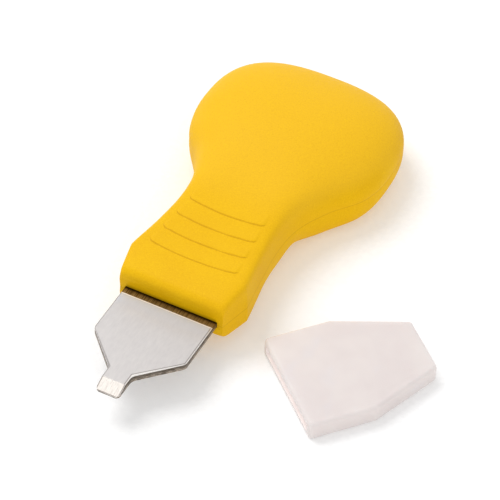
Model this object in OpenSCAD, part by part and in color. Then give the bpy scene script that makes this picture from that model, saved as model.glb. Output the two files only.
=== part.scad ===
// Watch case knife: a flat steel blade in a two-shell palm handle, with a loose blade cap.
// Millimetres. The origin is on the flat underside of the palm bulb, the object stands on Z = 0,
// the blade points along -Y and the bulb is behind it. Distances called "back" are measured
// from the handle's front face toward the bulb.

/* [Handle] */
// Distance from the front face back to the middle of the flat underside
rest_back = 50; // [46:0.5:54]
// Depth of the flat underside below the parting plane
rest_depth = 7.5; // [7.3:0.1:7.7]
// Distance from the front face to the back of the bulb
handle_length = 73.6; // [72:0.1:78]
// Wall thickness of both shells
shell_wall = 2.4; // [1.8:0.1:2.6]
// Rounding of the top and bottom edges of the front face
nose_round = 1.8; // [0.6:0.1:2.4]

/* [Thumb grip] */
// Number of raised steps across the top of the neck
grip_count = 4; // [1:1:4]
// Distance from the front face to the first step
grip_start = 9.2; // [8.6:0.1:9.6]
// Distance from one step to the next
grip_pitch = 4.8; // [4.2:0.1:5.0]
// Height of one step
grip_height = 0.35; // [0.15:0.05:0.5]
// How far the middle of a step bows toward the blade
grip_bow = 0.9; // [0:0.1:1.2]

/* [Blade] */
// Width of the blade where it leaves the handle
blade_width = 20.8; // [19:0.1:21]
// Thickness of the blade
blade_thickness = 1.5; // [1.2:0.1:1.6]
// Length of the parallel part in front of the handle
blade_parallel = 12.8; // [11:0.1:14]
// Distance from the handle to the corner where the tongue starts
blade_neck = 20.3; // [19:0.1:21]
// Distance from the handle to the tip of the tongue
blade_reach = 26.1; // [25:0.1:27]
// Width of the tongue
tongue_width = 5.2; // [4:0.1:6.5]
// Length of the ground bevel on the tongue
bevel_length = 2.9; // [2:0.1:3.5]
// Width of the tang inside the handle
tang_width = 14; // [12:0.5:15]

/* [Screws] */
// Diameter of the screw thread
screw_diameter = 2.6; // [2.4:0.1:2.8]
// Length of the screw under its head
screw_length = 7.2; // [6.8:0.1:7.4]
// Diameter of the screw head
head_diameter = 5.2; // [4.8:0.1:5.4]

/* [Cap] */
// Width of the cap across its parallel sides
cap_width = 25; // [24.4:0.1:26]
// Length of the cap
cap_length = 29.8; // [29.4:0.1:32]
// Length of the parallel sides
cap_parallel = 14.2; // [13.5:0.1:15]
// Width of the closed end
cap_end_width = 13.2; // [13:0.1:15]
// Thickness of the cap
cap_thickness = 4.4; // [4.2:0.1:5]
// Rounding of the outer edges
cap_round = 1; // [0.5:0.1:1.2]

/* [Hidden] */
bore_fn = 48;

// Cross sections of the handle: distance back, half width at the parting plane, height above it,
// depth below it, squareness above, squareness below, and side draft above.
stations = [
    [ 0.0, 11.8,  5.3, 3.9, 13.0, 14.0, 0.0],
    [ 7.2, 13.7,  6.2, 5.0, 12.0, 9.0, 0.6],
    [16.0, 12.5,  6.1, 6.7, 9.0, 4.0, 0.6],
    [25.0, 11.8,  6.4, 7.8, 7.0, 3.6, 0.6],
    [32.0, 12.7,  7.4, 8.0, 4.8, 2.7, 0.6],
    [39.0, 16.0,  8.4, 8.1, 2.9, 4.5, 0.2],
    [46.0, 20.9,  9.8, 8.1, 2.3, 4.2, 0.0],
    [54.0, 22.4, 10.5, 8.0, 2.5, 3.6, 0.0]
];
WIDTH = 1;
HEIGHT = 2;
DEPTH = 3;
SQUARE_TOP = 4;
SQUARE_BOTTOM = 5;
DRAFT = 6;
last = len(stations) - 1;
bulb_start = stations[last][0];
flare_back = stations[1][0];
// The back of the bulb closes as a rounded box, in plan and in side view
plan_power = 2.75;
side_power = 2.1;
arc_steps = 26;
close_steps = 9;

parting_z = rest_depth;
front_y = -rest_back;
front_wall = 2.6;
blade_top = parting_z + blade_thickness / 2;
blade_bottom = parting_z - blade_thickness / 2;
fit_gap = 0.05;
slot_side_gap = 0.1;
// How far a cut runs past the face that it opens
past = 1;
root_back = 4.5;
neck_flare = 1.6;
neck_rise = 1;
neck_drop = 0.8;
tip_chamfer = 0.6;
tip_thickness = 0.3;

// Screws: distance back, height of the seat under the head, and bottom and top of the two bosses
screw_front_at = [12, 4.2, 2.4, 11.9];
screw_middle_at = [28, 4.2, 1.2, 11.9];
screw_rear_at = [56, 5, 1, 16.6];
screws = [screw_front_at, screw_middle_at, screw_rear_at];
tang_end_back = 34;
head_height = 1.7;
head_chamfer = 0.5;
screw_tip = 1.2;
drive_length = 3.2;
drive_width = 0.7;
drive_depth = 1;
thread_r = screw_diameter / 2;
pilot_r = thread_r - 0.2;
clear_r = thread_r + 0.2;
head_r = head_diameter / 2;
well_r = head_r + 0.4;
upper_boss_r = 3.4;
lower_boss_r = 4.8;
pilot_spare = 0.5;
// Locating pegs on both sides of the bulb
peg_x = 13;
peg_back = 50;
peg_r = 1.6;
peg_boss_r = 3.2;
peg_length = 3;
peg_boss_top = 15;
peg_boss_bottom = 1.4;

// The cap lies flat beside the handle; its open end faces this point
cap_mouth = [28.3, -4.1];
cap_turn = 48.9;
cap_slot_height = 1.9;
cap_slot_width = 21.6;
cap_slot_parallel = 13.4;
cap_slot_end = 10.4;
cap_slot_length = 28.4;

// Slope of one column of the table at station i; the flare behind the front face ends in a corner
function slope(i, c) =
    i == last ? 0
    : i == 0 ? rise(0, c)
    : rise_between(i - 1, i + 1, c);
function rise(i, c) = rise_between(i, i + 1, c);
function rise_between(i, j, c) = (stations[j][c] - stations[i][c]) / (stations[j][0] - stations[i][0]);
function has_corner(c) = c == WIDTH || c == DRAFT;
function slope_in(i, c) = i == 0 && has_corner(c) ? rise(0, c) : slope(i + 1, c);
function slope_out(i, c) = i <= 1 && has_corner(c) ? rise(i, c) : slope(i, c);

// Smooth value of column c between the stations
function segment(s) = max([for (i = [0:last - 1]) s >= stations[i][0] ? i : 0]);
function blend(i, t, h, c) =
    (2 * t * t * t - 3 * t * t + 1) * stations[i][c]
    + (t * t * t - 2 * t * t + t) * h * slope_out(i, c)
    + (3 * t * t - 2 * t * t * t) * stations[i + 1][c]
    + (t * t * t - t * t) * h * slope_in(i, c);
function profile(s, c) =
    let (i = segment(s), h = stations[i + 1][0] - stations[i][0])
    blend(i, (s - stations[i][0]) / h, h, c);

// Inset that rounds the top and bottom edges of the front face
function edge_inset(s) =
    s >= nose_round ? 0 : nose_round - sqrt(nose_round * nose_round - pow(nose_round - s, 2));

// Where the rings of points stand: distance back, and the extra height of the thumb grip there.
// Each grip step rises at its front and fades away behind it.
step_face = 0.25;
bow_end = 24;
bow_fade = 8;
grip_half_width = 9;
front_rings = [[0, 0], [0.3, 0], [nose_round, 0], [4, 0], [flare_back, 0]];
grip_rings = [
    for (k = [0:grip_count - 1], up = [0, 1])
        [grip_start + k * grip_pitch + (up - 1) * step_face, up * grip_height]
];
neck_rings = [for (s = [28.4:2.4:bulb_start - 1]) [s, 0]];
body_rings = concat(front_rings, grip_rings, neck_rings, [[bulb_start, 0]]);
// Angles that close the bulb, 90 at its very back
close_angles = [for (k = [1:close_steps]) 86 * k / close_steps];

// One cross section: [distance back, half width, height, squareness, draft, bow]
function body_section(ring, top, inset) =
    let (
        s = ring[0],
        outside = inset == 0,
        squeeze = (bulb_start - front_wall) / bulb_start
    ) [
        outside ? s : front_wall + s * squeeze,
        profile(s, WIDTH) - (outside ? 0 : inset),
        profile(s, top ? HEIGHT : DEPTH) - (outside ? edge_inset(s) : inset) + (top && outside ? ring[1] : 0),
        profile(s, top ? SQUARE_TOP : SQUARE_BOTTOM),
        top ? profile(s, DRAFT) : 0,
        top && outside && s > flare_back ? grip_bow * max(0, 1 - max(0, s - bow_end) / bow_fade) : 0
    ];
function close_section(a, top, inset) = [
    bulb_start + (handle_length - inset - bulb_start) * sin(a),
    (stations[last][WIDTH] - inset) * pow(1 - pow(sin(a), plan_power), 1 / plan_power),
    (stations[last][top ? HEIGHT : DEPTH] - inset) * pow(1 - pow(sin(a), side_power), 1 / side_power),
    stations[last][top ? SQUARE_TOP : SQUARE_BOTTOM],
    0,
    0
];
function skin(top, inset) = concat(
    [for (ring = body_rings) body_section(ring, top, inset)],
    [for (a = close_angles) close_section(a, top, inset)]
);

// Points of one section, from the right edge over the crown to the left edge
function section_point(q, a, up) =
    let (
        across = sign(cos(a)) * pow(abs(cos(a)), 2 / q[3]),
        rise = pow(sin(a), 2 / q[3]),
        x = (q[1] - q[4] * rise) * across,
        bow = q[5] * max(0, 1 - pow(x / grip_half_width, 2))
    )
    [x, front_y + q[0] - bow, parting_z + up * q[2] * rise];
function section_points(q, up) = [
    for (k = [0:arc_steps])
        k == 0 ? [q[1], front_y + q[0], parting_z]
        : k == arc_steps ? [-q[1], front_y + q[0], parting_z]
        : section_point(q, 180 * k / arc_steps, up)
];

// A hollow half of the handle, open at the parting plane
module half_shell(top) {
    up = top ? 1 : -1;
    outer = skin(top, 0);
    inner = skin(top, shell_wall);
    rings = len(outer);
    row = arc_steps + 1;
    base = rings * row;
    points = concat(
        [for (q = outer) each section_points(q, up)],
        [for (q = inner) each section_points(q, up)]
    );
    outer_faces = [
        for (i = [0:rings - 2], k = [0:arc_steps - 1])
            let (a = i * row + k)
            each [[a, a + 1, a + row + 1], [a, a + row + 1, a + row]]
    ];
    inner_faces = [
        for (i = [0:rings - 2], k = [0:arc_steps - 1])
            let (a = base + i * row + k)
            each [[a, a + row + 1, a + 1], [a, a + row, a + row + 1]]
    ];
    rim_faces = [
        for (i = [0:rings - 2], k = [0, arc_steps])
            let (
                a = i * row + k,
                b = a + row,
                flip = k == 0
            )
            flip ? [a, b, base + b, base + a] : [a, base + a, base + b, b]
    ];
    front_cap = [for (k = [arc_steps:-1:0]) k];
    front_cap_inner = [for (k = [0:arc_steps]) base + k];
    front_rim = [0, base, base + arc_steps, arc_steps];
    back = (rings - 1) * row;
    back_cap = [for (k = [0:arc_steps]) back + k];
    back_cap_inner = [for (k = [arc_steps:-1:0]) base + back + k];
    back_rim = [back, back + arc_steps, base + back + arc_steps, base + back];
    faces = concat(
        outer_faces, inner_faces, rim_faces,
        [front_cap, front_cap_inner, front_rim, back_cap, back_cap_inner, back_rim]
    );
    turned = [for (f = faces) [for (k = [len(f) - 1:-1:0]) f[k]]];
    polyhedron(points, top ? faces : turned, convexity = 6);
}

// Slot for the blade, half in each shell
module blade_slot() {
    translate([-blade_width / 2 - slot_side_gap, front_y - past, blade_bottom - fit_gap])
        cube([blade_width + 2 * slot_side_gap, root_back + past, blade_thickness + 2 * fit_gap]);
}

// Where a boss stops: on the tang for the two screws through it, else at the parting plane
function boss_face(at, up) =
    at[0] > tang_end_back ? parting_z : parting_z + up * (blade_thickness / 2 + fit_gap);
module post(back, x, r, z_low, z_high) {
    translate([x, front_y + back, z_low])
        cylinder(r = r, h = z_high - z_low, $fn = bore_fn);
}

module upper_shell() {
    color("#f6c31c")
    difference() {
        union() {
            half_shell(true);
            for (at = screws)
                post(at[0], 0, upper_boss_r, boss_face(at, 1), at[3]);
            for (side = [-1, 1])
                post(peg_back, side * peg_x, peg_boss_r, parting_z, peg_boss_top);
        }
        blade_slot();
        for (at = screws)
            post(at[0], 0, pilot_r, parting_z - past, at[1] + screw_length + pilot_spare);
        for (side = [-1, 1])
            post(peg_back, side * peg_x, peg_r + fit_gap, parting_z - past,
                 parting_z + peg_length + pilot_spare);
    }
}

module lower_shell() {
    color("#edb713")
    difference() {
        union() {
            half_shell(false);
            for (at = screws)
                post(at[0], 0, lower_boss_r, at[2], boss_face(at, -1));
            for (side = [-1, 1]) {
                post(peg_back, side * peg_x, peg_boss_r, peg_boss_bottom, parting_z);
                post(peg_back, side * peg_x, peg_r, peg_boss_bottom, parting_z + peg_length);
            }
        }
        blade_slot();
        // flat underside that the tool rests on
        translate([-handle_length / 2, -handle_length, -handle_length])
            cube([handle_length, 2 * handle_length, handle_length]);
        for (at = screws) {
            post(at[0], 0, well_r, -past, at[1]);
            post(at[0], 0, clear_r, -past, parting_z + past);
        }
    }
}

// Outline of the blade from above, tongue at the front, tang at the back
module blade_outline() {
    w = blade_width / 2;
    t = tongue_width / 2;
    shoulder = root_back - fit_gap;
    half = [
        [tang_width / 2, tang_end_back], [tang_width / 2, shoulder], [w, shoulder], [w, -blade_parallel],
        [t + neck_flare, neck_rise - blade_neck], [t, -neck_drop - blade_neck],
        [t, tip_chamfer - blade_reach], [t - tip_chamfer, -blade_reach]
    ];
    polygon(concat(half, [for (k = [len(half) - 1:-1:0]) [-half[k][0], half[k][1]]]));
}

module blade() {
    bevel_angle = atan((blade_thickness - tip_thickness) / bevel_length);
    color("#c9c5be")
    difference() {
        translate([0, front_y, blade_bottom])
            linear_extrude(blade_thickness)
                blade_outline();
        for (at = [screw_front_at, screw_middle_at])
            post(at[0], 0, clear_r + slot_side_gap, blade_bottom - past, blade_top + past);
        // ground bevel on top of the tongue
        translate([0, front_y - blade_reach + bevel_length, blade_top])
            rotate([bevel_angle, 0, 0])
                translate([-tongue_width, -2 * bevel_length, 0])
                    cube([2 * tongue_width, 2 * bevel_length, 2 * blade_thickness]);
    }
}

// Self-tapping screw, head down; the origin is where the head seats
module screw(at) {
    color("#b9bcc0")
    translate([0, front_y + at[0], at[1]])
    difference() {
        union() {
            translate([0, 0, -head_height])
                cylinder(r1 = head_r - head_chamfer, r2 = head_r, h = head_chamfer, $fn = bore_fn);
            translate([0, 0, head_chamfer - head_height])
                cylinder(r = head_r, h = head_height - head_chamfer, $fn = bore_fn);
            cylinder(r = thread_r, h = screw_length - screw_tip, $fn = bore_fn);
            translate([0, 0, screw_length - screw_tip])
                cylinder(r1 = thread_r, r2 = thread_r / 3, h = screw_tip, $fn = bore_fn);
        }
        for (turn = [0, 90])
            rotate([0, 0, turn])
                translate([0, 0, -head_height])
                    cube([drive_length, drive_width, 2 * drive_depth], center = true);
    }
}
module screw_front() { screw(screw_front_at); }
module screw_middle() { screw(screw_middle_at); }
module screw_rear() { screw(screw_rear_at); }

// Push-on cap, open at its wide end
module cap() {
    w = cap_width / 2 - cap_round;
    e = cap_end_width / 2 - cap_round;
    corners = [
        [cap_round, w], [cap_parallel, w], [cap_length - cap_round, e],
        [cap_length - cap_round, -e], [cap_parallel, -w], [cap_round, -w]
    ];
    sw = cap_slot_width / 2;
    se = cap_slot_end / 2;
    color("#ece4e2")
    translate([cap_mouth[0], front_y + cap_mouth[1], 0])
    rotate([0, 0, cap_turn])
    difference() {
        hull()
            for (p = corners, z = [cap_round, cap_thickness - cap_round])
                translate([p[0], p[1], z])
                    sphere(r = cap_round, $fn = 20);
        translate([0, 0, (cap_thickness - cap_slot_height) / 2])
            linear_extrude(cap_slot_height)
                polygon([
                    [-past, sw], [cap_slot_parallel, sw], [cap_slot_length, se],
                    [cap_slot_length, -se], [cap_slot_parallel, -sw], [-past, -sw]
                ]);
    }
}

upper_shell();
lower_shell();
blade();
screw_front();
screw_middle();
screw_rear();
cap();
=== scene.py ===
import math
import bpy
import bmesh
from mathutils import Matrix, Vector


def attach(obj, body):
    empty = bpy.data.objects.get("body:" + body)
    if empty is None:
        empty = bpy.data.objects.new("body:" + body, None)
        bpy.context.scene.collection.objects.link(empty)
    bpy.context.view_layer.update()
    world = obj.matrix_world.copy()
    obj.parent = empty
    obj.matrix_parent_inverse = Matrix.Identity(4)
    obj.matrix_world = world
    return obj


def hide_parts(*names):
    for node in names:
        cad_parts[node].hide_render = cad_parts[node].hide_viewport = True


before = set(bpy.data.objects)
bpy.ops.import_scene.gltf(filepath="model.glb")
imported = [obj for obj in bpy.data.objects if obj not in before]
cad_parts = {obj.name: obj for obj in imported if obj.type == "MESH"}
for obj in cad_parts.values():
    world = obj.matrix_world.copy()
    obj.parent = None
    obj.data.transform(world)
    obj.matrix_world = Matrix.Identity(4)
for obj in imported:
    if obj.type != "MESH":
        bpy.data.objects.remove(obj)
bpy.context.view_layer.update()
print("stage: frame loaded")

mm = 0.001

# Where things stand, in the frame's own axes: the blade points along -Y, Z is up
place = {
    "frontFace": -50 * mm,   # the handle's front face
    "parting": 7.5 * mm,     # height of the plane where the two shells meet
    "bladeTop": 8.25 * mm,
    "bladeBottom": 6.75 * mm,
}


# Shader maths as plain expressions: a wrapped socket that adds Math nodes
class Term:
    def __init__(self, tree, socket):
        self.tree = tree
        self.socket = socket

    def maths(self, operation, a, b):
        made = self.tree.nodes.new("ShaderNodeMath")
        made.operation = operation
        for port, value in zip(made.inputs, (a, b)):
            if isinstance(value, Term):
                self.tree.links.new(value.socket, port)
            else:
                port.default_value = value
        return Term(self.tree, made.outputs[0])

    def __add__(self, other):
        return self.maths("ADD", self, other)

    def __radd__(self, other):
        return self.maths("ADD", other, self)

    def __sub__(self, other):
        return self.maths("SUBTRACT", self, other)

    def __rsub__(self, other):
        return self.maths("SUBTRACT", other, self)

    def __mul__(self, other):
        return self.maths("MULTIPLY", self, other)

    def __rmul__(self, other):
        return self.maths("MULTIPLY", other, self)

    def __truediv__(self, other):
        return self.maths("DIVIDE", self, other)

    def __rtruediv__(self, other):
        return self.maths("DIVIDE", other, self)

    def __abs__(self):
        return self.maths("ABSOLUTE", self, 0.0)

    def larger(self, other):
        return self.maths("MAXIMUM", self, other)

    def smaller(self, other):
        return self.maths("MINIMUM", self, other)

    def root(self):
        return self.maths("SQRT", self, 0.0)

    def wave(self, size):
        # rises from 0 to the size and falls back to 0, over and over
        return self.maths("PINGPONG", self, size)


# One finish: its Principled shader, and one method that adds any other node
class Finish:
    def __init__(self, name, **fixed):
        self.material = bpy.data.materials.new(name)
        self.material.use_nodes = True
        self.tree = self.material.node_tree
        self.shader = self.tree.nodes["Principled BSDF"]
        for label, value in fixed.items():
            self.shader.inputs[label.replace("_", " ")].default_value = value

    def node(self, kind, settings=None, output=0, **ports):
        made = self.tree.nodes.new(kind)
        for key, value in (settings or {}).items():
            setattr(made, key, value)
        for label, value in ports.items():
            port = self.port(made, label)
            if isinstance(value, Term):
                self.tree.links.new(value.socket, port)
            else:
                port.default_value = value
        return Term(self.tree, made.outputs[output])

    def port(self, made, label):
        wanted = label.replace("_", " ")
        for port in made.inputs:
            if port.name == wanted and port.enabled:
                return port
        return made.inputs[int(label[2:])]   # in0, in1 ... for ports without a name of their own

    def feed(self, label, term):
        self.tree.links.new(term.socket, self.shader.inputs[label])

    def place(self):
        return self.node("ShaderNodeTexCoord", output=3)   # object coordinates, in metres

    def stretched(self, scale):
        return self.node("ShaderNodeMapping", Vector=self.place(), Scale=scale)

    def noise(self, vector, scale, detail, roughness=0.5):
        return self.node(
            "ShaderNodeTexNoise", Vector=vector, Scale=scale, Detail=detail, Roughness=roughness)

    def ramp(self, value, low, high):
        return self.node(
            "ShaderNodeMapRange", {"interpolation_type": "SMOOTHSTEP"},
            Value=value, From_Min=low, From_Max=high, To_Min=0.0, To_Max=1.0)

    def mix(self, amount, first, second):
        return self.node(
            "ShaderNodeMix", {"data_type": "RGBA"}, output=2, in0=amount, in6=first, in7=second)

    def along(self, axis):
        return self.node("ShaderNodeSeparateXYZ", output="XYZ".index(axis), Vector=self.place())

    def bump(self, height, strength, distance):
        bumped = self.node("ShaderNodeBump", Height=height, Strength=strength, Distance=distance)
        self.feed("Normal", bumped)


def sRGB(red, green, blue):
    def linear(c):
        c = c / 255
        return c / 12.92 if c <= 0.04045 else ((c + 0.055) / 1.055) ** 2.4
    return (linear(red), linear(green), linear(blue), 1.0)


# Thumb grip: shallow steps that bow toward the blade and hook back at their ends
grip = {
    "count": 4,
    "start": 9.2,
    "pitch": 4.8,
    "height": 0.22,
    "bow": 0.9,
    "halfWidth": 10.3,      # of the step nearest the blade
    "narrowing": 0.098,     # loss of half width per millimetre toward the bulb
    "hook": 1.1,            # how far the ends of a step turn back
    "hookStart": 0.86,
    "faceLength": 0.28,     # length of the slope at the front of a step
    "fade": 4.2,
    "endFade": 0.07,
    "fromRise": 0.6,        # share of the skin's height above which the grip shows
}


# Blade: lengths are measured ahead of the handle's front face, except those of the root and tang
bladeSizes = {
    "halfWidth": 10.4,
    "parallel": 12.8,
    "neck": 20.3,
    "reach": 26.1,
    "halfTongue": 2.6,
    "tipRadius": 0.95,
    "neckRadius": 2.2,
    "neckEase": 0.4,        # how far the corner under the neck's round lies ahead of the neck
    "shoulderRadius": 1.5,
    "bevel": 2.9,
    "bevelBlock": (6.0, 8.0, 4.0),   # half width, length and height of the block that cuts it
    "tipThickness": 0.3,
    "burr": 0.1,
    "hole": 1.6,
    "halfTang": 7.0,
    "tangRadius": 0.5,
    "rootBack": 4.45,
    "tangEnd": 34.0,
}


# Moulded yellow plastic: a fine spark-eroded grain, faint flow clouds, slightly rubbed specks; painted
# sheen on the top, painted shade at the grip steps, along the seam and above the blade
yellow = {
    "deep": sRGB(231, 178, 2),
    "light": sRGB(235, 184, 4),
    # paler tone of the top: a painted sheen
    "crown": sRGB(239, 187, 36),
    "neckShare": 0.4,       # how much of the painted top sheen the neck shows
    "rubbed": sRGB(247, 200, 26),
    "pit": sRGB(212, 156, 0),
    "shade": sRGB(186, 126, 0),
    # tone of the painted shade above the blade
    "root": sRGB(120, 82, 6),
    "roughness": 0.52,
    "grainSize": 3400.0,
    "cloudSize": 90.0,
    "lineHalf": 0.17,       # half the width of the painted shade line at the foot of a grip step, in millimetres
    "stepShadeShare": 0.45,
    "seamShadeShare": 0.4,
    "slotShadeShare": 0.6,
    "slotShadeHeight": 1.1 * mm,
    "grainDepth": 0.06 * mm,
}


def gripShadeLines(f):
    # 1 on the foot of each step of the thumb grip, fading over a fraction of a millimetre: where the
    # painted shade lines go
    back = (f.along("Y") - place["frontFace"]) * (1 / mm) + grip["faceLength"] / 2 - grip["start"]
    across = abs(f.along("X")) * (1 / mm) / (grip["halfWidth"] - back * grip["narrowing"])
    turn = ((across - grip["hookStart"]) * (1 / (1 - grip["hookStart"]))).larger(0.0).smaller(1.0)
    hook = (1 - (1 - turn * turn).root()) * grip["hook"]
    level = back - (across * across - 1) * grip["bow"] - hook
    line = 1 - f.ramp(level.wave(grip["pitch"] / 2), yellow["lineHalf"] * 0.3, yellow["lineHalf"])
    first = f.ramp(level, -1.0, -0.6)
    last = (grip["count"] - 1) * grip["pitch"]
    beyond = 1 - f.ramp(level, last + 0.6, last + 1.0)
    ends = 1 - f.ramp(across, 0.94, 1.02)
    above = f.ramp(f.along("Z"), place["parting"] + 3 * mm, place["parting"] + 4 * mm)
    return line * first * beyond * ends * above


def slotShade(f):
    # painted shade on the front face just above the blade
    up = f.along("Z")
    above = 1 - f.ramp(up, place["bladeTop"] - 0.1 * mm, place["bladeTop"] + yellow["slotShadeHeight"])
    ahead = 1 - f.ramp(f.along("Y"), place["frontFace"] + 0.1 * mm, place["frontFace"] + 0.5 * mm)
    half = bladeSizes["halfWidth"] * mm
    beside = 1 - f.ramp(abs(f.along("X")), half - 0.3 * mm, half + 0.1 * mm)
    return above * f.ramp(up, place["bladeBottom"], place["bladeTop"]) * ahead * beside


def yellowPlastic():
    f = Finish("yellowPlastic", IOR=1.48, Specular_IOR_Level=0.08)
    where = f.place()
    cloud = f.noise(where, yellow["cloudSize"], 3.0)
    grain = f.noise(where, yellow["grainSize"], 2.0, 0.6)
    speck = f.node(
        "ShaderNodeTexVoronoi", {"feature": "F1"}, Vector=where, Scale=yellow["grainSize"] * 0.4)
    colour = f.mix(f.ramp(cloud, 0.35, 0.65), yellow["deep"], yellow["light"])
    # painted sheen: the top is painted paler, most of all on the bulb, as light from above would show
    # it
    high = f.ramp(f.along("Z"), place["parting"] + 2 * mm, place["parting"] + 6 * mm)
    palm = f.ramp(f.along("Y"), place["frontFace"] + 22 * mm, place["frontFace"] + 36 * mm)
    topSheenMask = high * (palm * (1 - yellow["neckShare"]) + yellow["neckShare"])
    colour = f.mix(topSheenMask * 0.9, colour, yellow["crown"])
    colour = f.mix(f.ramp(grain, 0.5, 0.7) * 0.45, colour, yellow["rubbed"])
    colour = f.mix((1 - f.ramp(grain, 0.3, 0.46)) * 0.25, colour, yellow["pit"])
    line = gripShadeLines(f)
    seam = 1 - f.ramp(abs(f.along("Z") - place["parting"]), 0.04 * mm, 0.14 * mm)
    # painted shade: dark lines at the foot of each grip step and along the seam groove between the
    # shells
    shadeLines = (line * yellow["stepShadeShare"]).larger(seam * yellow["seamShadeShare"])
    colour = f.mix(shadeLines, colour, yellow["shade"])
    # painted shade on the front face above the blade
    colour = f.mix(slotShade(f) * yellow["slotShadeShare"], colour, yellow["root"])
    f.feed("Base Color", colour)
    f.feed("Roughness", yellow["roughness"] + (grain - 0.5) * 0.16 + (cloud - 0.5) * 0.1)
    f.bump(grain * 0.7 + speck * 0.3 - line * 1.5, 0.6, yellow["grainDepth"])
    return f.material


# Ground stainless steel: hair lines along the blade; at the root a painted reflection of the handle's
# front face that darkens to painted shadow next to the handle, and painted highlights along the edges
steel = {
    "face": sRGB(192, 188, 187),
    "faceWarm": sRGB(201, 197, 195),
    "line": sRGB(238, 234, 230),
    # band at the root: painted reflection of the handle, darkest next to it as painted shadow
    "handleReflection": sRGB(142, 120, 80),
    "handleReflectionDark": sRGB(88, 70, 40),
    "handleShadow": sRGB(40, 30, 14),
    "cool": sRGB(196, 206, 222),
    "dark": sRGB(92, 82, 74),
    "edgeDark": sRGB(66, 56, 46),
    "edgeLight": sRGB(196, 183, 168),
    "honed": sRGB(170, 165, 160),
    "honedLight": sRGB(196, 190, 184),
    "handleReflectionWidth": 1.7 * mm,
    "roughness": 0.42,
    "edgeRoughness": 0.45,
    "honedRoughness": 0.3,
    "hairDepth": 0.02 * mm,
    "tornDepth": 0.04 * mm,
}


def insideEdge(f):
    # millimetres to the nearest edge of the blade's outline, negative inside it
    b = bladeSizes
    across = abs(f.along("X")) * (1 / mm)
    ahead = (place["frontFace"] - f.along("Y")) * (1 / mm)
    narrowing = Vector((b["neck"] - b["parallel"], b["halfWidth"] - b["halfTongue"])).normalized()
    shoulder = (across - b["halfWidth"]) * narrowing.x + (ahead - b["parallel"]) * narrowing.y
    body = (across - b["halfWidth"]).larger(shoulder)
    tongue = (across - b["halfTongue"]).larger(ahead - b["reach"])
    return body.smaller(tongue)


def brushedSteel():
    f = Finish("brushedSteel", Metallic=1.0, IOR=2.5)
    hair = f.noise(f.stretched((5200.0, 900.0, 900.0)), 1.0, 5.0, 0.65)
    broad = f.noise(f.stretched((1400.0, 420.0, 100.0)), 1.0, 3.0, 0.5)
    stripes = f.noise(f.stretched((5600.0, 150.0, 100.0)), 1.0, 1.0, 0.5)
    patch = f.noise(f.place(), 220.0, 2.0)
    back = f.along("Y")
    start = place["frontFace"] - steel["handleReflectionWidth"]
    # painted reflection of the handle's front face in a band at the root, with a painted highlight
    # line along its front edge
    handleReflection = f.ramp(back, start - 0.03 * mm, start + 0.03 * mm)
    reflectionEdgeHighlight = 1 - f.ramp(abs(back - (start - 0.14 * mm)), 0.05 * mm, 0.13 * mm)
    # next to the handle the band darkens: painted shadow
    deep = f.ramp(back, start + 0.9 * mm, place["frontFace"] - 0.1 * mm)
    edge = insideEdge(f)
    edgeHighlight = f.ramp(edge, -0.22, -0.16)   # painted highlight along the edge on the lit side, with a painted shade line inside it; on the other side the edge is painted darker
    edgeShadeLine = f.ramp(edge, -0.44, -0.36) * (1 - edgeHighlight)
    lit = f.ramp(f.along("X"), -1 * mm, 1 * mm)
    # painted light: a cool pale glow that grows toward the reflected band
    glow = f.ramp(back, start - 4 * mm, start) * 0.5
    grind = f.ramp(hair, 0.3, 0.7) * 0.6 + f.ramp(broad, 0.3, 0.7) * 0.4
    colour = f.mix(grind, steel["face"], steel["faceWarm"])
    colour = f.mix(f.ramp(patch, 0.62, 0.8) * 0.12, colour, steel["line"])
    colour = f.mix(glow, colour, steel["cool"])
    colour = f.mix((edgeShadeLine * lit + edgeHighlight * (1 - lit) * 0.6) * 0.6, colour, steel["dark"])
    colour = f.mix((edgeHighlight * lit + reflectionEdgeHighlight).smaller(1.0) * 0.9, colour, steel["line"])
    dark = f.mix(f.ramp(stripes, 0.3, 0.7), steel["handleReflectionDark"], steel["handleReflection"])
    dark = f.mix(deep, dark, steel["handleShadow"])
    f.feed("Base Color", f.mix(handleReflection, colour, dark))
    f.feed("Roughness", steel["roughness"] + (hair - 0.5) * 0.16 - edgeHighlight * 0.1)
    f.bump(hair * 0.85 + broad * 0.15, 0.2, steel["hairDepth"])
    return f.material


# The punched sides of the blade: darker, with a torn grain
def punchedEdge():
    f = Finish("punchedEdge", Metallic=1.0)
    torn = f.noise(f.stretched((900.0, 900.0, 2600.0)), 1.0, 5.0, 0.7)
    depth = 1 - f.ramp(f.along("Z"), place["bladeBottom"] + 0.2 * mm, place["bladeTop"] - 0.3 * mm)
    streak = f.noise(f.stretched((3500.0, 3500.0, 120.0)), 1.0, 3.0)
    light = f.ramp(torn, 0.3, 0.7) * (depth * 0.7 + 0.3)
    f.feed("Base Color", f.mix(light, steel["edgeDark"], steel["edgeLight"]))
    f.feed("Roughness", steel["edgeRoughness"] + (streak - 0.5) * 0.3)
    f.bump(torn * 0.6 + streak * 0.4, 0.5, steel["tornDepth"])
    return f.material


# The honed bevel of the tongue: brighter than the face
def honedSteel():
    f = Finish("honedSteel", Metallic=1.0)
    hair = f.noise(f.stretched((7000.0, 500.0, 500.0)), 1.0, 4.0, 0.6)
    colour = f.mix(f.ramp(hair, 0.3, 0.7), steel["honed"], steel["honedLight"])
    colour = f.mix(f.ramp(insideEdge(f), -0.3, -0.14) * 0.75, colour, steel["dark"])
    f.feed("Base Color", colour)
    f.feed("Roughness", steel["honedRoughness"] + (hair - 0.5) * 0.2)
    f.bump(hair, 0.2, steel["hairDepth"])
    return f.material


# Zinc plating of the screws
zinc = {
    "dark": sRGB(150, 152, 155),
    "light": sRGB(176, 177, 176),
    "roughness": 0.3,
    "ringDepth": 0.02 * mm,
}


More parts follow.
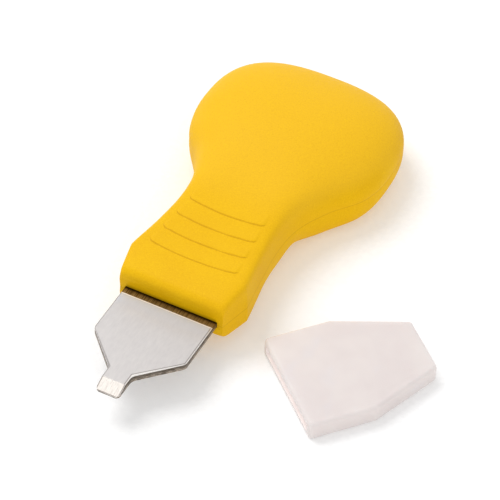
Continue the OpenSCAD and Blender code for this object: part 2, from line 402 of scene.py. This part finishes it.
def zincSteel():
    f = Finish("zincSteel", Metallic=1.0)
    rings = f.noise(f.stretched((2500.0, 2500.0, 6000.0)), 1.0, 4.0, 0.6)
    tint = f.noise(f.place(), 700.0, 2.0)
    f.feed("Base Color", f.mix(f.ramp(tint, 0.35, 0.65), zinc["dark"], zinc["light"]))
    f.feed("Roughness", zinc["roughness"] + (rings - 0.5) * 0.2)
    f.bump(rings, 0.3, zinc["ringDepth"])
    return f.material


# Milky flexible plastic of the cap
milk = {
    "body": sRGB(225, 217, 214),
    "thin": sRGB(220, 211, 209),
    "cool": sRGB(218, 214, 217),
    "roughness": 0.55,
    "grainSize": 4200.0,
    "grainDepth": 0.03 * mm,
    # strength of the painted glow inside the cap's slot
    "glow": 0.28,
}


def milkyPlastic():
    f = Finish(
        "milkyPlastic", IOR=1.5, Specular_IOR_Level=0.2,
        Subsurface_Weight=0.45, Subsurface_Radius=(1.0, 0.9, 0.9), Subsurface_Scale=0.004)
    cloud = f.noise(f.place(), 70.0, 3.0)
    drift = f.noise(f.stretched((160.0, 90.0, 160.0)), 1.0, 2.0)
    grain = f.noise(f.place(), milk["grainSize"], 2.0, 0.6)
    colour = f.mix(f.ramp(cloud, 0.4, 0.62), milk["body"], milk["thin"])
    colour = f.mix(f.ramp(drift, 0.55, 0.75) * 0.5, colour, milk["cool"])
    f.feed("Base Color", colour)
    f.feed("Roughness", milk["roughness"] + (grain - 0.5) * 0.14 + (cloud - 0.5) * 0.08)
    f.bump(grain * 0.8 + cloud * 0.2, 0.25, milk["grainDepth"])
    return f.material


# Inside of the cap: painted light: the slot's faces glow a little, standing in for light let through
# the thin walls
def milkyInside():
    f = Finish(
        "milkyInside", IOR=1.5, Specular_IOR_Level=0.1, Roughness=0.6, Emission_Strength=milk["glow"])
    cloud = f.noise(f.place(), 300.0, 3.0)
    grain = f.noise(f.place(), milk["grainSize"], 2.0, 0.6)
    f.feed("Base Color", f.mix(f.ramp(cloud, 0.4, 0.62), milk["body"], milk["thin"]))
    f.feed("Emission Color", f.mix(f.ramp(cloud, 0.3, 0.7), milk["thin"], milk["body"]))
    f.bump(grain, 0.2, milk["grainDepth"])
    return f.material


finishes = {
    "yellow": yellowPlastic(),
    "steel": brushedSteel(),
    "edge": punchedEdge(),
    "honed": honedSteel(),
    "zinc": zincSteel(),
    "milk": milkyPlastic(),
    "inside": milkyInside(),
}
print("stage: finishes made")


def addMesh(name, points, faces, material, smooth=True):
    mesh = bpy.data.meshes.new(name)
    mesh.from_pydata(points, [], faces)
    mesh.validate()
    mesh.update()
    piece = bpy.data.objects.new(name, mesh)
    bpy.context.scene.collection.objects.link(piece)
    mesh.materials.append(material)
    for polygon in mesh.polygons:
        polygon.use_smooth = smooth
    return piece


def applyChanges(piece):
    graph = bpy.context.evaluated_depsgraph_get()
    mesh = bpy.data.meshes.new_from_object(piece.evaluated_get(graph))
    old = piece.data
    piece.modifiers.clear()
    piece.data = mesh
    bpy.data.meshes.remove(old)


def combine(piece, tool, operation):
    # cuts the tool out of the piece, or adds it, then removes the tool
    change = piece.modifiers.new(operation, "BOOLEAN")
    change.operation = operation
    change.solver = "EXACT"
    change.material_mode = "TRANSFER"   # cut faces take the tool's finish
    change.object = tool
    applyChanges(piece)
    bpy.data.objects.remove(tool)


# Handle: cross sections along the tool. Each row is distance back, half width at the parting plane,
# height above it, depth below it, squareness above and below, and side draft above.
handle = {
    "stations": [
        (0.0, 11.8, 5.3, 3.9, 13.0, 14.0, 0.0),
        (7.2, 13.7, 6.2, 5.0, 12.0, 9.0, 0.6),
        (16.0, 12.5, 6.1, 6.7, 9.0, 4.0, 0.6),
        (25.0, 11.8, 6.4, 7.8, 7.0, 3.6, 0.6),
        (32.0, 12.7, 7.4, 8.0, 4.8, 2.7, 0.6),
        (39.0, 16.0, 8.4, 8.1, 2.9, 4.5, 0.2),
        (46.0, 20.9, 9.8, 8.1, 2.3, 4.2, 0.0),
        (54.0, 22.4, 10.5, 8.0, 2.5, 3.6, 0.0),
    ],
    "length": 73.6,
    "planPower": 2.75,
    "sidePower": 2.1,
    "noseRound": 1.8,
    "wall": 2.4,
    "frontWall": 2.6,
    "restDepth": 7.5,
    "seamRound": 0.16,      # tiny rounding where the shells meet, so that the seam reads as a line
    "seamInset": 0.096,
    "slotHalf": 10.5,
    "slotDeep": 4.5,
    "slotGap": 0.05,
    "noseRings": (0, 0.05, 0.12, 0.22, 0.35, 0.52, 0.74, 1),
    "ringStep": 0.42,
    "endRings": 40,
    "endAngle": 88.5,       # the rings stop just short of the back, which a flat face closes
    "arcSteps": 112,
    "crease": 38,
}
widthOf, heightOf, depthOf, squareTop, squareBottom, draftOf = range(1, 7)


def smoothStep(t):
    t = min(max(t, 0.0), 1.0)
    return t * t * (3 - 2 * t)


def slopeBetween(i, j, column):
    rows = handle["stations"]
    return (rows[j][column] - rows[i][column]) / (rows[j][0] - rows[i][0])


def profile(s, column):
    # smooth value between the stations; width and draft have a corner behind the front flare
    rows = handle["stations"]
    last = len(rows) - 1
    s = min(s, rows[last][0])
    i = max(k for k in range(last) if s >= rows[k][0])
    length = rows[i + 1][0] - rows[i][0]
    t = (s - rows[i][0]) / length
    corner = column in (widthOf, draftOf)
    if i == 0 or (corner and i == 1):
        leaving = slopeBetween(i, i + 1, column)
    else:
        leaving = slopeBetween(i - 1, i + 1, column)
    if i + 1 == last:
        arriving = 0.0
    elif i == 0 and corner:
        arriving = slopeBetween(0, 1, column)
    else:
        arriving = slopeBetween(i, i + 2, column)
    return (
        (2 * t ** 3 - 3 * t ** 2 + 1) * rows[i][column]
        + (t ** 3 - 2 * t ** 2 + t) * length * leaving
        + (3 * t ** 2 - 2 * t ** 3) * rows[i + 1][column]
        + (t ** 3 - t ** 2) * length * arriving)


def edgeInset(s):
    r = handle["noseRound"]
    return 0.0 if s >= r else r - math.sqrt(r * r - (r - s) ** 2)


def gripLift(x, s):
    # height of the thumb grip above the plain skin at a point of the neck
    across = abs(x) / (grip["halfWidth"] - grip["narrowing"] * (s - grip["start"]))
    ends = smoothStep((1.0 - across) / grip["endFade"])
    turn = min(max((across - grip["hookStart"]) / (1 - grip["hookStart"]), 0.0), 1.0)
    lift = 0.0
    for k in range(grip["count"]):
        edge = grip["start"] + k * grip["pitch"] + grip["bow"] * (across ** 2 - 1)
        edge += grip["hook"] * (1 - math.sqrt(1 - turn * turn))
        behind = s - edge
        if behind <= -grip["faceLength"]:
            continue
        rise = smoothStep((behind + grip["faceLength"]) / grip["faceLength"])
        away = 1 - smoothStep(behind / grip["fade"])
        lift = max(lift, rise * away)
    return grip["height"] * lift * ends


# Sections of one skin: distance back, half width, height, squareness and draft
def skinSections(top, inset):
    rows = handle["stations"]
    bulbStart = rows[-1][0]
    sections = []
    outside = inset == 0
    stops = [handle["noseRound"] * share for share in handle["noseRings"]]
    count = int((bulbStart - stops[-1]) / handle["ringStep"])
    stops += [stops[-1] + (bulbStart - stops[-1]) * (k + 1) / count for k in range(count)]
    corner = min(range(len(stops)), key=lambda k: abs(stops[k] - rows[1][0]))
    stops[corner] = rows[1][0]
    squeeze = (bulbStart - handle["frontWall"]) / bulbStart
    for s in stops:
        drop = edgeInset(s) if outside else inset
        side = 0 if outside else inset
        sections.append((
            s if outside else handle["frontWall"] + s * squeeze,
            profile(s, widthOf) - side,
            profile(s, heightOf if top else depthOf) - drop,
            profile(s, squareTop if top else squareBottom),
            profile(s, draftOf) if top else 0.0))
    for k in range(1, handle["endRings"] + 1):
        u = math.sin(math.radians(handle["endAngle"] * k / handle["endRings"]))
        narrow = (1 - u ** handle["planPower"]) ** (1 / handle["planPower"])
        low = (1 - u ** handle["sidePower"]) ** (1 / handle["sidePower"])
        sections.append((
            bulbStart + (handle["length"] - inset - bulbStart) * u,
            (rows[-1][widthOf] - inset) * narrow,
            (rows[-1][heightOf if top else depthOf] - inset) * low,
            rows[-1][squareTop if top else squareBottom],
            0.0))
    return sections


def sectionPoints(section, up, outside):
    s, width, height, square, draft = section
    steps = handle["arcSteps"]
    points = []
    for k in range(steps + 1):
        # angles crowd toward the seam, where a square section turns quickly
        a = math.pi * k / steps
        c = math.cos(a)
        sine = max(math.sin(a), 0.0) if 0 < k < steps else 0.0
        across = math.copysign(abs(c) ** (2 / square), c)
        rise = sine ** (2 / square)
        x = (width - draft * rise) * across
        z = height * rise
        if outside:
            if up > 0 and rise > grip["fromRise"]:
                z += gripLift(x, s)
            if 0 < k < steps:
                seam = max(0.0, 1 - z / handle["seamRound"])
            else:
                seam = 1.0
            x -= math.copysign(handle["seamInset"] * seam * seam, x)
            if up < 0:
                z = min(z, handle["restDepth"])
        points.append((x * mm, place["frontFace"] + s * mm, place["parting"] + up * z * mm))
    return points


def halfShell(name, top):
    up = 1 if top else -1
    outer = skinSections(top, 0)
    inner = skinSections(top, handle["wall"])
    row = handle["arcSteps"] + 1
    rings = len(outer)
    points = []
    for section in outer:
        points += sectionPoints(section, up, True)
    for section in inner:
        points += sectionPoints(section, up, False)
    base = rings * row
    faces = []
    for i in range(rings - 1):
        for k in range(row - 1):
            a = i * row + k
            faces.append((a, a + row, a + row + 1, a + 1))
            b = base + a
            faces.append((b, b + 1, b + row + 1, b + row))
        a = i * row
        faces.append((a, base + a, base + a + row, a + row))
        a = i * row + row - 1
        faces.append((a, a + row, base + a + row, base + a))
    back = (rings - 1) * row
    faces.append(tuple(range(row)))
    faces.append(tuple(base + k for k in range(row - 1, -1, -1)))
    faces.append((0, row - 1, base + row - 1, base))
    faces.append(tuple(back + k for k in range(row - 1, -1, -1)))
    faces.append(tuple(base + back + k for k in range(row)))
    faces.append((back, base + back, base + back + row - 1, back + row - 1))
    if not top:
        faces = [tuple(reversed(f)) for f in faces]
    return addMesh(name, points, faces, finishes["yellow"])


def box(name, low, high):
    sides = list(zip(low, high))
    points = [(x, y, z) for x in sides[0] for y in sides[1] for z in sides[2]]
    faces = [(0, 1, 3, 2), (4, 6, 7, 5), (0, 4, 5, 1), (2, 3, 7, 6), (0, 2, 6, 4), (1, 5, 7, 3)]
    return addMesh(name, points, faces, finishes["yellow"], False)


def rod(name, x, back, radius, low, high, sides=64):
    points = []
    for z in (low, high):
        for k in range(sides):
            a = 2 * math.pi * k / sides
            y = place["frontFace"] + back + radius * math.sin(a)
            points.append((x + radius * math.cos(a), y, z))
    faces = [(k, (k + 1) % sides, sides + (k + 1) % sides, sides + k) for k in range(sides)]
    faces.append(tuple(range(sides - 1, -1, -1)))
    faces.append(tuple(sides + k for k in range(sides)))
    return addMesh(name, points, faces, finishes["yellow"], False)


# Screws: each has its distance back, the height of the seat under its head, and the bottom of the
# boss below and the top of the boss above; then the radii that all three share
screws = {
    "front": (12, 4.2, 2.75, 11.9),
    "middle": (28, 4.2, 1.2, 11.9),
    "rear": (56, 5.0, 1.0, 16.4),
}
screwSizes = {
    "well": 3.0,
    "clear": 1.5,
    "pilot": 1.1,
    "lowerBoss": 4.8,
    "upperBoss": 3.4,
    "reach": 7.7,
}


# Locating pegs on both sides of the bulb
pegs = {
    "side": 13.0,
    "back": 50.0,
    "radius": 1.6,
    "bossRadius": 3.2,
    "length": 3.0,
    "play": 0.05,
    "endGap": 0.5,
    "bossTop": 15.0,
    "bossBottom": 1.4,
}


def markCreases(piece, degrees):
    # keeps crisp the edges that turn by more than the angle
    mesh = piece.data
    work = bmesh.new()
    work.from_mesh(mesh)
    limit = math.radians(degrees)
    for edge in work.edges:
        if len(edge.link_faces) == 2 and edge.calc_face_angle(0.0) > limit:
            edge.smooth = False
    work.to_mesh(mesh)
    work.free()


def slotCutter():
    gap = handle["slotGap"] * mm
    half = handle["slotHalf"] * mm
    front = place["frontFace"]
    low = (-half, front - mm, place["bladeBottom"] - gap)
    high = (half, front + handle["slotDeep"] * mm, place["bladeTop"] + gap)
    return box("cutter", low, high)


def addPost(piece, side, back, radius, low, high):
    combine(piece, rod("post", side * mm, back * mm, radius * mm, low, high), "UNION")


def cutHole(piece, side, back, radius, low, high):
    combine(piece, rod("hole", side * mm, back * mm, radius * mm, low, high), "DIFFERENCE")


def finishShell(piece, node):
    combine(piece, slotCutter(), "DIFFERENCE")
    markCreases(piece, handle["crease"])
    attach(piece, "knife")
    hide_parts(node)


def makeUpper():
    piece = halfShell("upperShell", True)
    parting = place["parting"]
    tang = place["bladeTop"] + handle["slotGap"] * mm
    for key, (back, _, _, top) in screws.items():
        low = parting if key == "rear" else tang
        addPost(piece, 0, back, screwSizes["upperBoss"], low, top * mm)
    for back, seat, _, _ in screws.values():
        high = (seat + screwSizes["reach"]) * mm
        cutHole(piece, 0, back, screwSizes["pilot"], parting - mm, high)
    for side in (-pegs["side"], pegs["side"]):
        addPost(piece, side, pegs["back"], pegs["bossRadius"], parting, pegs["bossTop"] * mm)
        high = parting + (pegs["length"] + pegs["endGap"]) * mm
        cutHole(piece, side, pegs["back"], pegs["radius"] + pegs["play"], parting - mm, high)
    finishShell(piece, "upper_shell")


def makeLower():
    piece = halfShell("lowerShell", False)
    parting = place["parting"]
    tang = place["bladeBottom"] - handle["slotGap"] * mm
    for key, (back, _, bottom, _) in screws.items():
        high = parting if key == "rear" else tang
        addPost(piece, 0, back, screwSizes["lowerBoss"], bottom * mm, high)
    for back, seat, _, _ in screws.values():
        cutHole(piece, 0, back, screwSizes["well"], -mm, seat * mm)
        cutHole(piece, 0, back, screwSizes["clear"], -mm, parting + mm)
    for side in (-pegs["side"], pegs["side"]):
        low = pegs["bossBottom"] * mm
        addPost(piece, side, pegs["back"], pegs["bossRadius"], low, parting)
        addPost(piece, side, pegs["back"], pegs["radius"], low, parting + pegs["length"] * mm)
    finishShell(piece, "lower_shell")


makeUpper()
makeLower()
print("stage: handle made")


def roundedOutline(corners):
    # corners are (x, y, radius); each is replaced by an arc that touches both sides
    count = len(corners)
    points = []
    for i, (x, y, radius) in enumerate(corners):
        here = Vector((x, y))
        before = Vector(corners[i - 1][:2]) - here
        after = Vector(corners[(i + 1) % count][:2]) - here
        if radius <= 0:
            points.append((x, y))
            continue
        turn = before.angle(after)
        reach = radius / math.tan(turn / 2)
        start = here + before.normalized() * reach
        end = here + after.normalized() * reach
        inward = (before.normalized() + after.normalized()).normalized()
        centre = here + inward * radius / math.sin(turn / 2)
        first = math.atan2(start.y - centre.y, start.x - centre.x)
        sweep = math.atan2(end.y - centre.y, end.x - centre.x) - first
        sweep = (sweep + math.pi) % (2 * math.pi) - math.pi
        steps = max(3, int(abs(sweep) / math.radians(7)))
        for k in range(steps + 1):
            a = first + sweep * k / steps
            points.append((centre.x + radius * math.cos(a), centre.y + radius * math.sin(a)))
    return points


def bladeOutline():
    b = bladeSizes
    # the right half, from the tip to the end of the tang
    half = [
        (b["halfTongue"], -b["reach"], b["tipRadius"]),
        (b["halfTongue"], -b["neck"] - b["neckEase"], b["neckRadius"]),
        (b["halfWidth"], -b["parallel"], b["shoulderRadius"]),
        (b["halfWidth"], b["rootBack"], 0.0),
        (b["halfTang"], b["rootBack"], 0.0),
        (b["halfTang"], b["tangEnd"], b["tangRadius"]),
    ]
    return roundedOutline(half + [(-x, y, r) for x, y, r in reversed(half)])


def makeBlade():
    b = bladeSizes
    outline = bladeOutline()
    work = bmesh.new()
    front = place["frontFace"]
    low = [work.verts.new((x * mm, front + y * mm, place["bladeBottom"])) for x, y in outline]
    base = work.faces.new(low)
    base.normal_update()
    if base.normal.z > 0:
        base.normal_flip()
    raised = bmesh.ops.extrude_face_region(work, geom=[base])
    lifted = [v for v in raised["geom"] if isinstance(v, bmesh.types.BMVert)]
    bmesh.ops.translate(work, verts=lifted, vec=(0, 0, place["bladeTop"] - place["bladeBottom"]))
    bmesh.ops.recalc_face_normals(work, faces=work.faces)
    mesh = bpy.data.meshes.new("blade")
    work.to_mesh(mesh)
    work.free()
    piece = bpy.data.objects.new("bladePlate", mesh)
    bpy.context.scene.collection.objects.link(piece)
    for key in ("steel", "edge", "honed"):
        mesh.materials.append(finishes[key])
    for key in ("front", "middle"):
        cutHole(piece, 0, screws[key][0], b["hole"], place["bladeBottom"] - mm, place["bladeTop"] + mm)
    # the bevel of the tongue is cut by a tilted block
    thickness = (place["bladeTop"] - place["bladeBottom"]) / mm
    angle = math.atan((thickness - b["tipThickness"]) / b["bevel"])
    half, long, high = (size * mm for size in b["bevelBlock"])
    block = box("bevel", (-half, -long, 0), (half, 0, high))
    block.data.transform(
        Matrix.Translation((0, front - (b["reach"] - b["bevel"]) * mm, place["bladeTop"]))
        @ Matrix.Rotation(angle, 4, "X"))
    combine(piece, block, "DIFFERENCE")
    while len(piece.data.materials) > 3:   # the cuts brought the tools' finish along
        piece.data.materials.pop()
    soften = piece.modifiers.new("burr", "BEVEL")
    soften.width = b["burr"] * mm
    soften.segments = 2
    soften.limit_method = "ANGLE"
    soften.angle_limit = math.radians(40)
    applyChanges(piece)
    # each face gets its finish by the way it points: flat, bevel or side
    tilted = math.cos(angle)
    for polygon in piece.data.polygons:
        n = polygon.normal
        if abs(n.z) > 0.995:
            polygon.material_index = 0
        elif abs(n.z - tilted) < 0.02 and n.y < -0.2 and abs(n.x) < 0.1:
            polygon.material_index = 2
        elif abs(n.z) < 0.2:
            polygon.material_index = 1
        else:
            polygon.material_index = 0
        polygon.use_smooth = False
    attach(piece, "knife")
    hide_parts("blade")


makeBlade()
print("stage: blade made")


# The screws keep their CAD shape and get their own finish
for key in screws:
    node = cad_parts["screw_" + key]
    node.data.materials.clear()
    node.data.materials.append(finishes["zinc"])


# Cap: a flat five-sided sheath with an open wide end
capSizes = {
    "mouth": (28.3, -4.1),      # distance to the side and back of the middle of the open end
    "turn": 48.9,
    "halfWidth": 12.5,
    "parallel": 14.2,
    "length": 29.8,
    "halfEnd": 6.6,
    "thickness": 4.4,
    "cornerRound": 1.0,
    "shoulderRound": 1.5,
    "edgeRound": 0.8,
    "slotPast": 1.0,        # how far the tool that cuts the slot stands out of the mouth
    "slotHalf": 10.8,
    "slotParallel": 13.4,
    "slotHalfEnd": 5.2,
    "slotLength": 28.4,
    "slotHeight": 1.9,
    "slotRound": 0.8,
    "slotEndRound": 0.5,
    "crease": 35,
}


def prism(name, outline, low, high, material):
    count = len(outline)
    points = [(x * mm, y * mm, z * mm) for z in (low, high) for x, y in outline]
    faces = [(k, (k + 1) % count, count + (k + 1) % count, count + k) for k in range(count)]
    faces.append(tuple(range(count - 1, -1, -1)))
    faces.append(tuple(count + k for k in range(count)))
    return addMesh(name, points, faces, material, False)


def makeCap():
    c = capSizes
    half = [
        (0.0, -c["halfWidth"], c["cornerRound"]),
        (c["parallel"], -c["halfWidth"], c["shoulderRound"]),
        (c["length"], -c["halfEnd"], c["cornerRound"]),
    ]
    outline = roundedOutline(half + [(x, -y, r) for x, y, r in reversed(half)])
    piece = prism("bladeCap", outline, 0, c["thickness"], finishes["milk"])
    soften = piece.modifiers.new("edge", "BEVEL")
    soften.width = c["edgeRound"] * mm
    soften.segments = 6
    soften.limit_method = "ANGLE"
    soften.angle_limit = math.radians(60)
    applyChanges(piece)
    slotHalf = [
        (-c["slotPast"], -c["slotHalf"], 0.0),
        (c["slotParallel"], -c["slotHalf"], c["slotRound"]),
        (c["slotLength"], -c["slotHalfEnd"], c["slotEndRound"]),
    ]
    slotOutline = roundedOutline(slotHalf + [(x, -y, r) for x, y, r in reversed(slotHalf)])
    middle = c["thickness"] / 2
    gap = c["slotHeight"] / 2
    hollow = prism("slot", slotOutline, middle - gap, middle + gap, finishes["inside"])
    combine(piece, hollow, "DIFFERENCE")
    for polygon in piece.data.polygons:
        polygon.use_smooth = True
    markCreases(piece, c["crease"])
    x, y = c["mouth"]
    piece.data.transform(
        Matrix.Translation((x * mm, place["frontFace"] + y * mm, 0))
        @ Matrix.Rotation(math.radians(c["turn"]), 4, "Z"))
    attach(piece, "cap")
    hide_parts("cap")


makeCap()
print("stage: cap made")


# Floor, lights and camera
studio = {
    "azimuth": 28.82,
    "elevation": 47.01,
    "distance": 0.6,
    "lens": 215.28,
    "aimRight": 0.026455,    # slope from the handle's front face to the middle of the view, sideways
    "aimUp": 0.018161,
    "floor": sRGB(238, 238, 238),
    "fibre": sRGB(232, 232, 232),
    "floorHalf": 3.0,
    "floorGap": 0.02 * mm,
    "floorGlow": 0.2,
    "sky": 0.67,
    "lamps": {   # where it hangs, its size and its power
        "key": ((-0.6, 0.1, 0.95), 0.75, 6.4),
        "front": ((0.85, -0.8, 0.5), 0.9, 2.5),
        "back": ((-0.3, 1.0, 0.5), 0.6, 0.8),
    },
}


def makeFloor():
    finish = Finish(
        "paper", Roughness=0.9, Specular_IOR_Level=0.1,
        Emission_Color=(1.0, 1.0, 1.0, 1.0), Emission_Strength=studio["floorGlow"])
    fibre = finish.noise(finish.place(), 900.0, 3.0)
    tone = finish.mix(finish.ramp(fibre, 0.3, 0.7), studio["fibre"], studio["floor"])
    finish.feed("Base Color", tone)
    half = studio["floorHalf"]
    corners = [(-half, -half), (half, -half), (half, half), (-half, half)]
    points = [(x, y, -studio["floorGap"]) for x, y in corners]
    addMesh("floor", points, [(0, 1, 2, 3)], finish.material, False)


def softLamp(name, where, size, power):
    lamp = bpy.data.lights.new(name, "AREA")
    lamp.shape = "DISK"
    lamp.size = size
    lamp.energy = power
    holder = bpy.data.objects.new(name, lamp)
    holder.location = where
    holder.rotation_euler = (-Vector(where)).to_track_quat("-Z", "Y").to_euler()
    bpy.context.scene.collection.objects.link(holder)


def makeWorld():
    world = bpy.data.worlds.new("studio")
    bpy.context.scene.world = world
    world.use_nodes = True
    sky = world.node_tree.nodes["Background"]
    sky.inputs["Color"].default_value = (1.0, 1.0, 1.0, 1.0)
    sky.inputs["Strength"].default_value = studio["sky"]


def makeCamera():
    a = math.radians(studio["azimuth"])
    e = math.radians(studio["elevation"])
    back = Vector((math.sin(a) * math.cos(e), -math.cos(a) * math.cos(e), math.sin(e)))
    right = Vector((0, 0, 1)).cross(back).normalized()
    up = back.cross(right)
    nose = Vector((0, place["frontFace"], place["bladeTop"]))
    forward = (-back + right * studio["aimRight"] + up * studio["aimUp"]).normalized()
    side = (right - forward * right.dot(forward)).normalized()
    top = side.cross(forward)
    camera = bpy.data.cameras.new("camera")
    camera.lens = studio["lens"]
    camera.sensor_width = 36.0
    camera.clip_start = 0.05
    camera.clip_end = 20.0
    holder = bpy.data.objects.new("camera", camera)
    turn = Matrix((side, top, -forward)).transposed()
    holder.matrix_world = Matrix.Translation(nose + back * studio["distance"]) @ turn.to_4x4()
    bpy.context.scene.collection.objects.link(holder)
    bpy.context.scene.camera = holder


makeFloor()
makeWorld()
for name, (where, size, power) in studio["lamps"].items():
    softLamp(name, where, size, power)
makeCamera()
bpy.context.scene.view_settings.view_transform = "Standard"
print("stage: studio set")
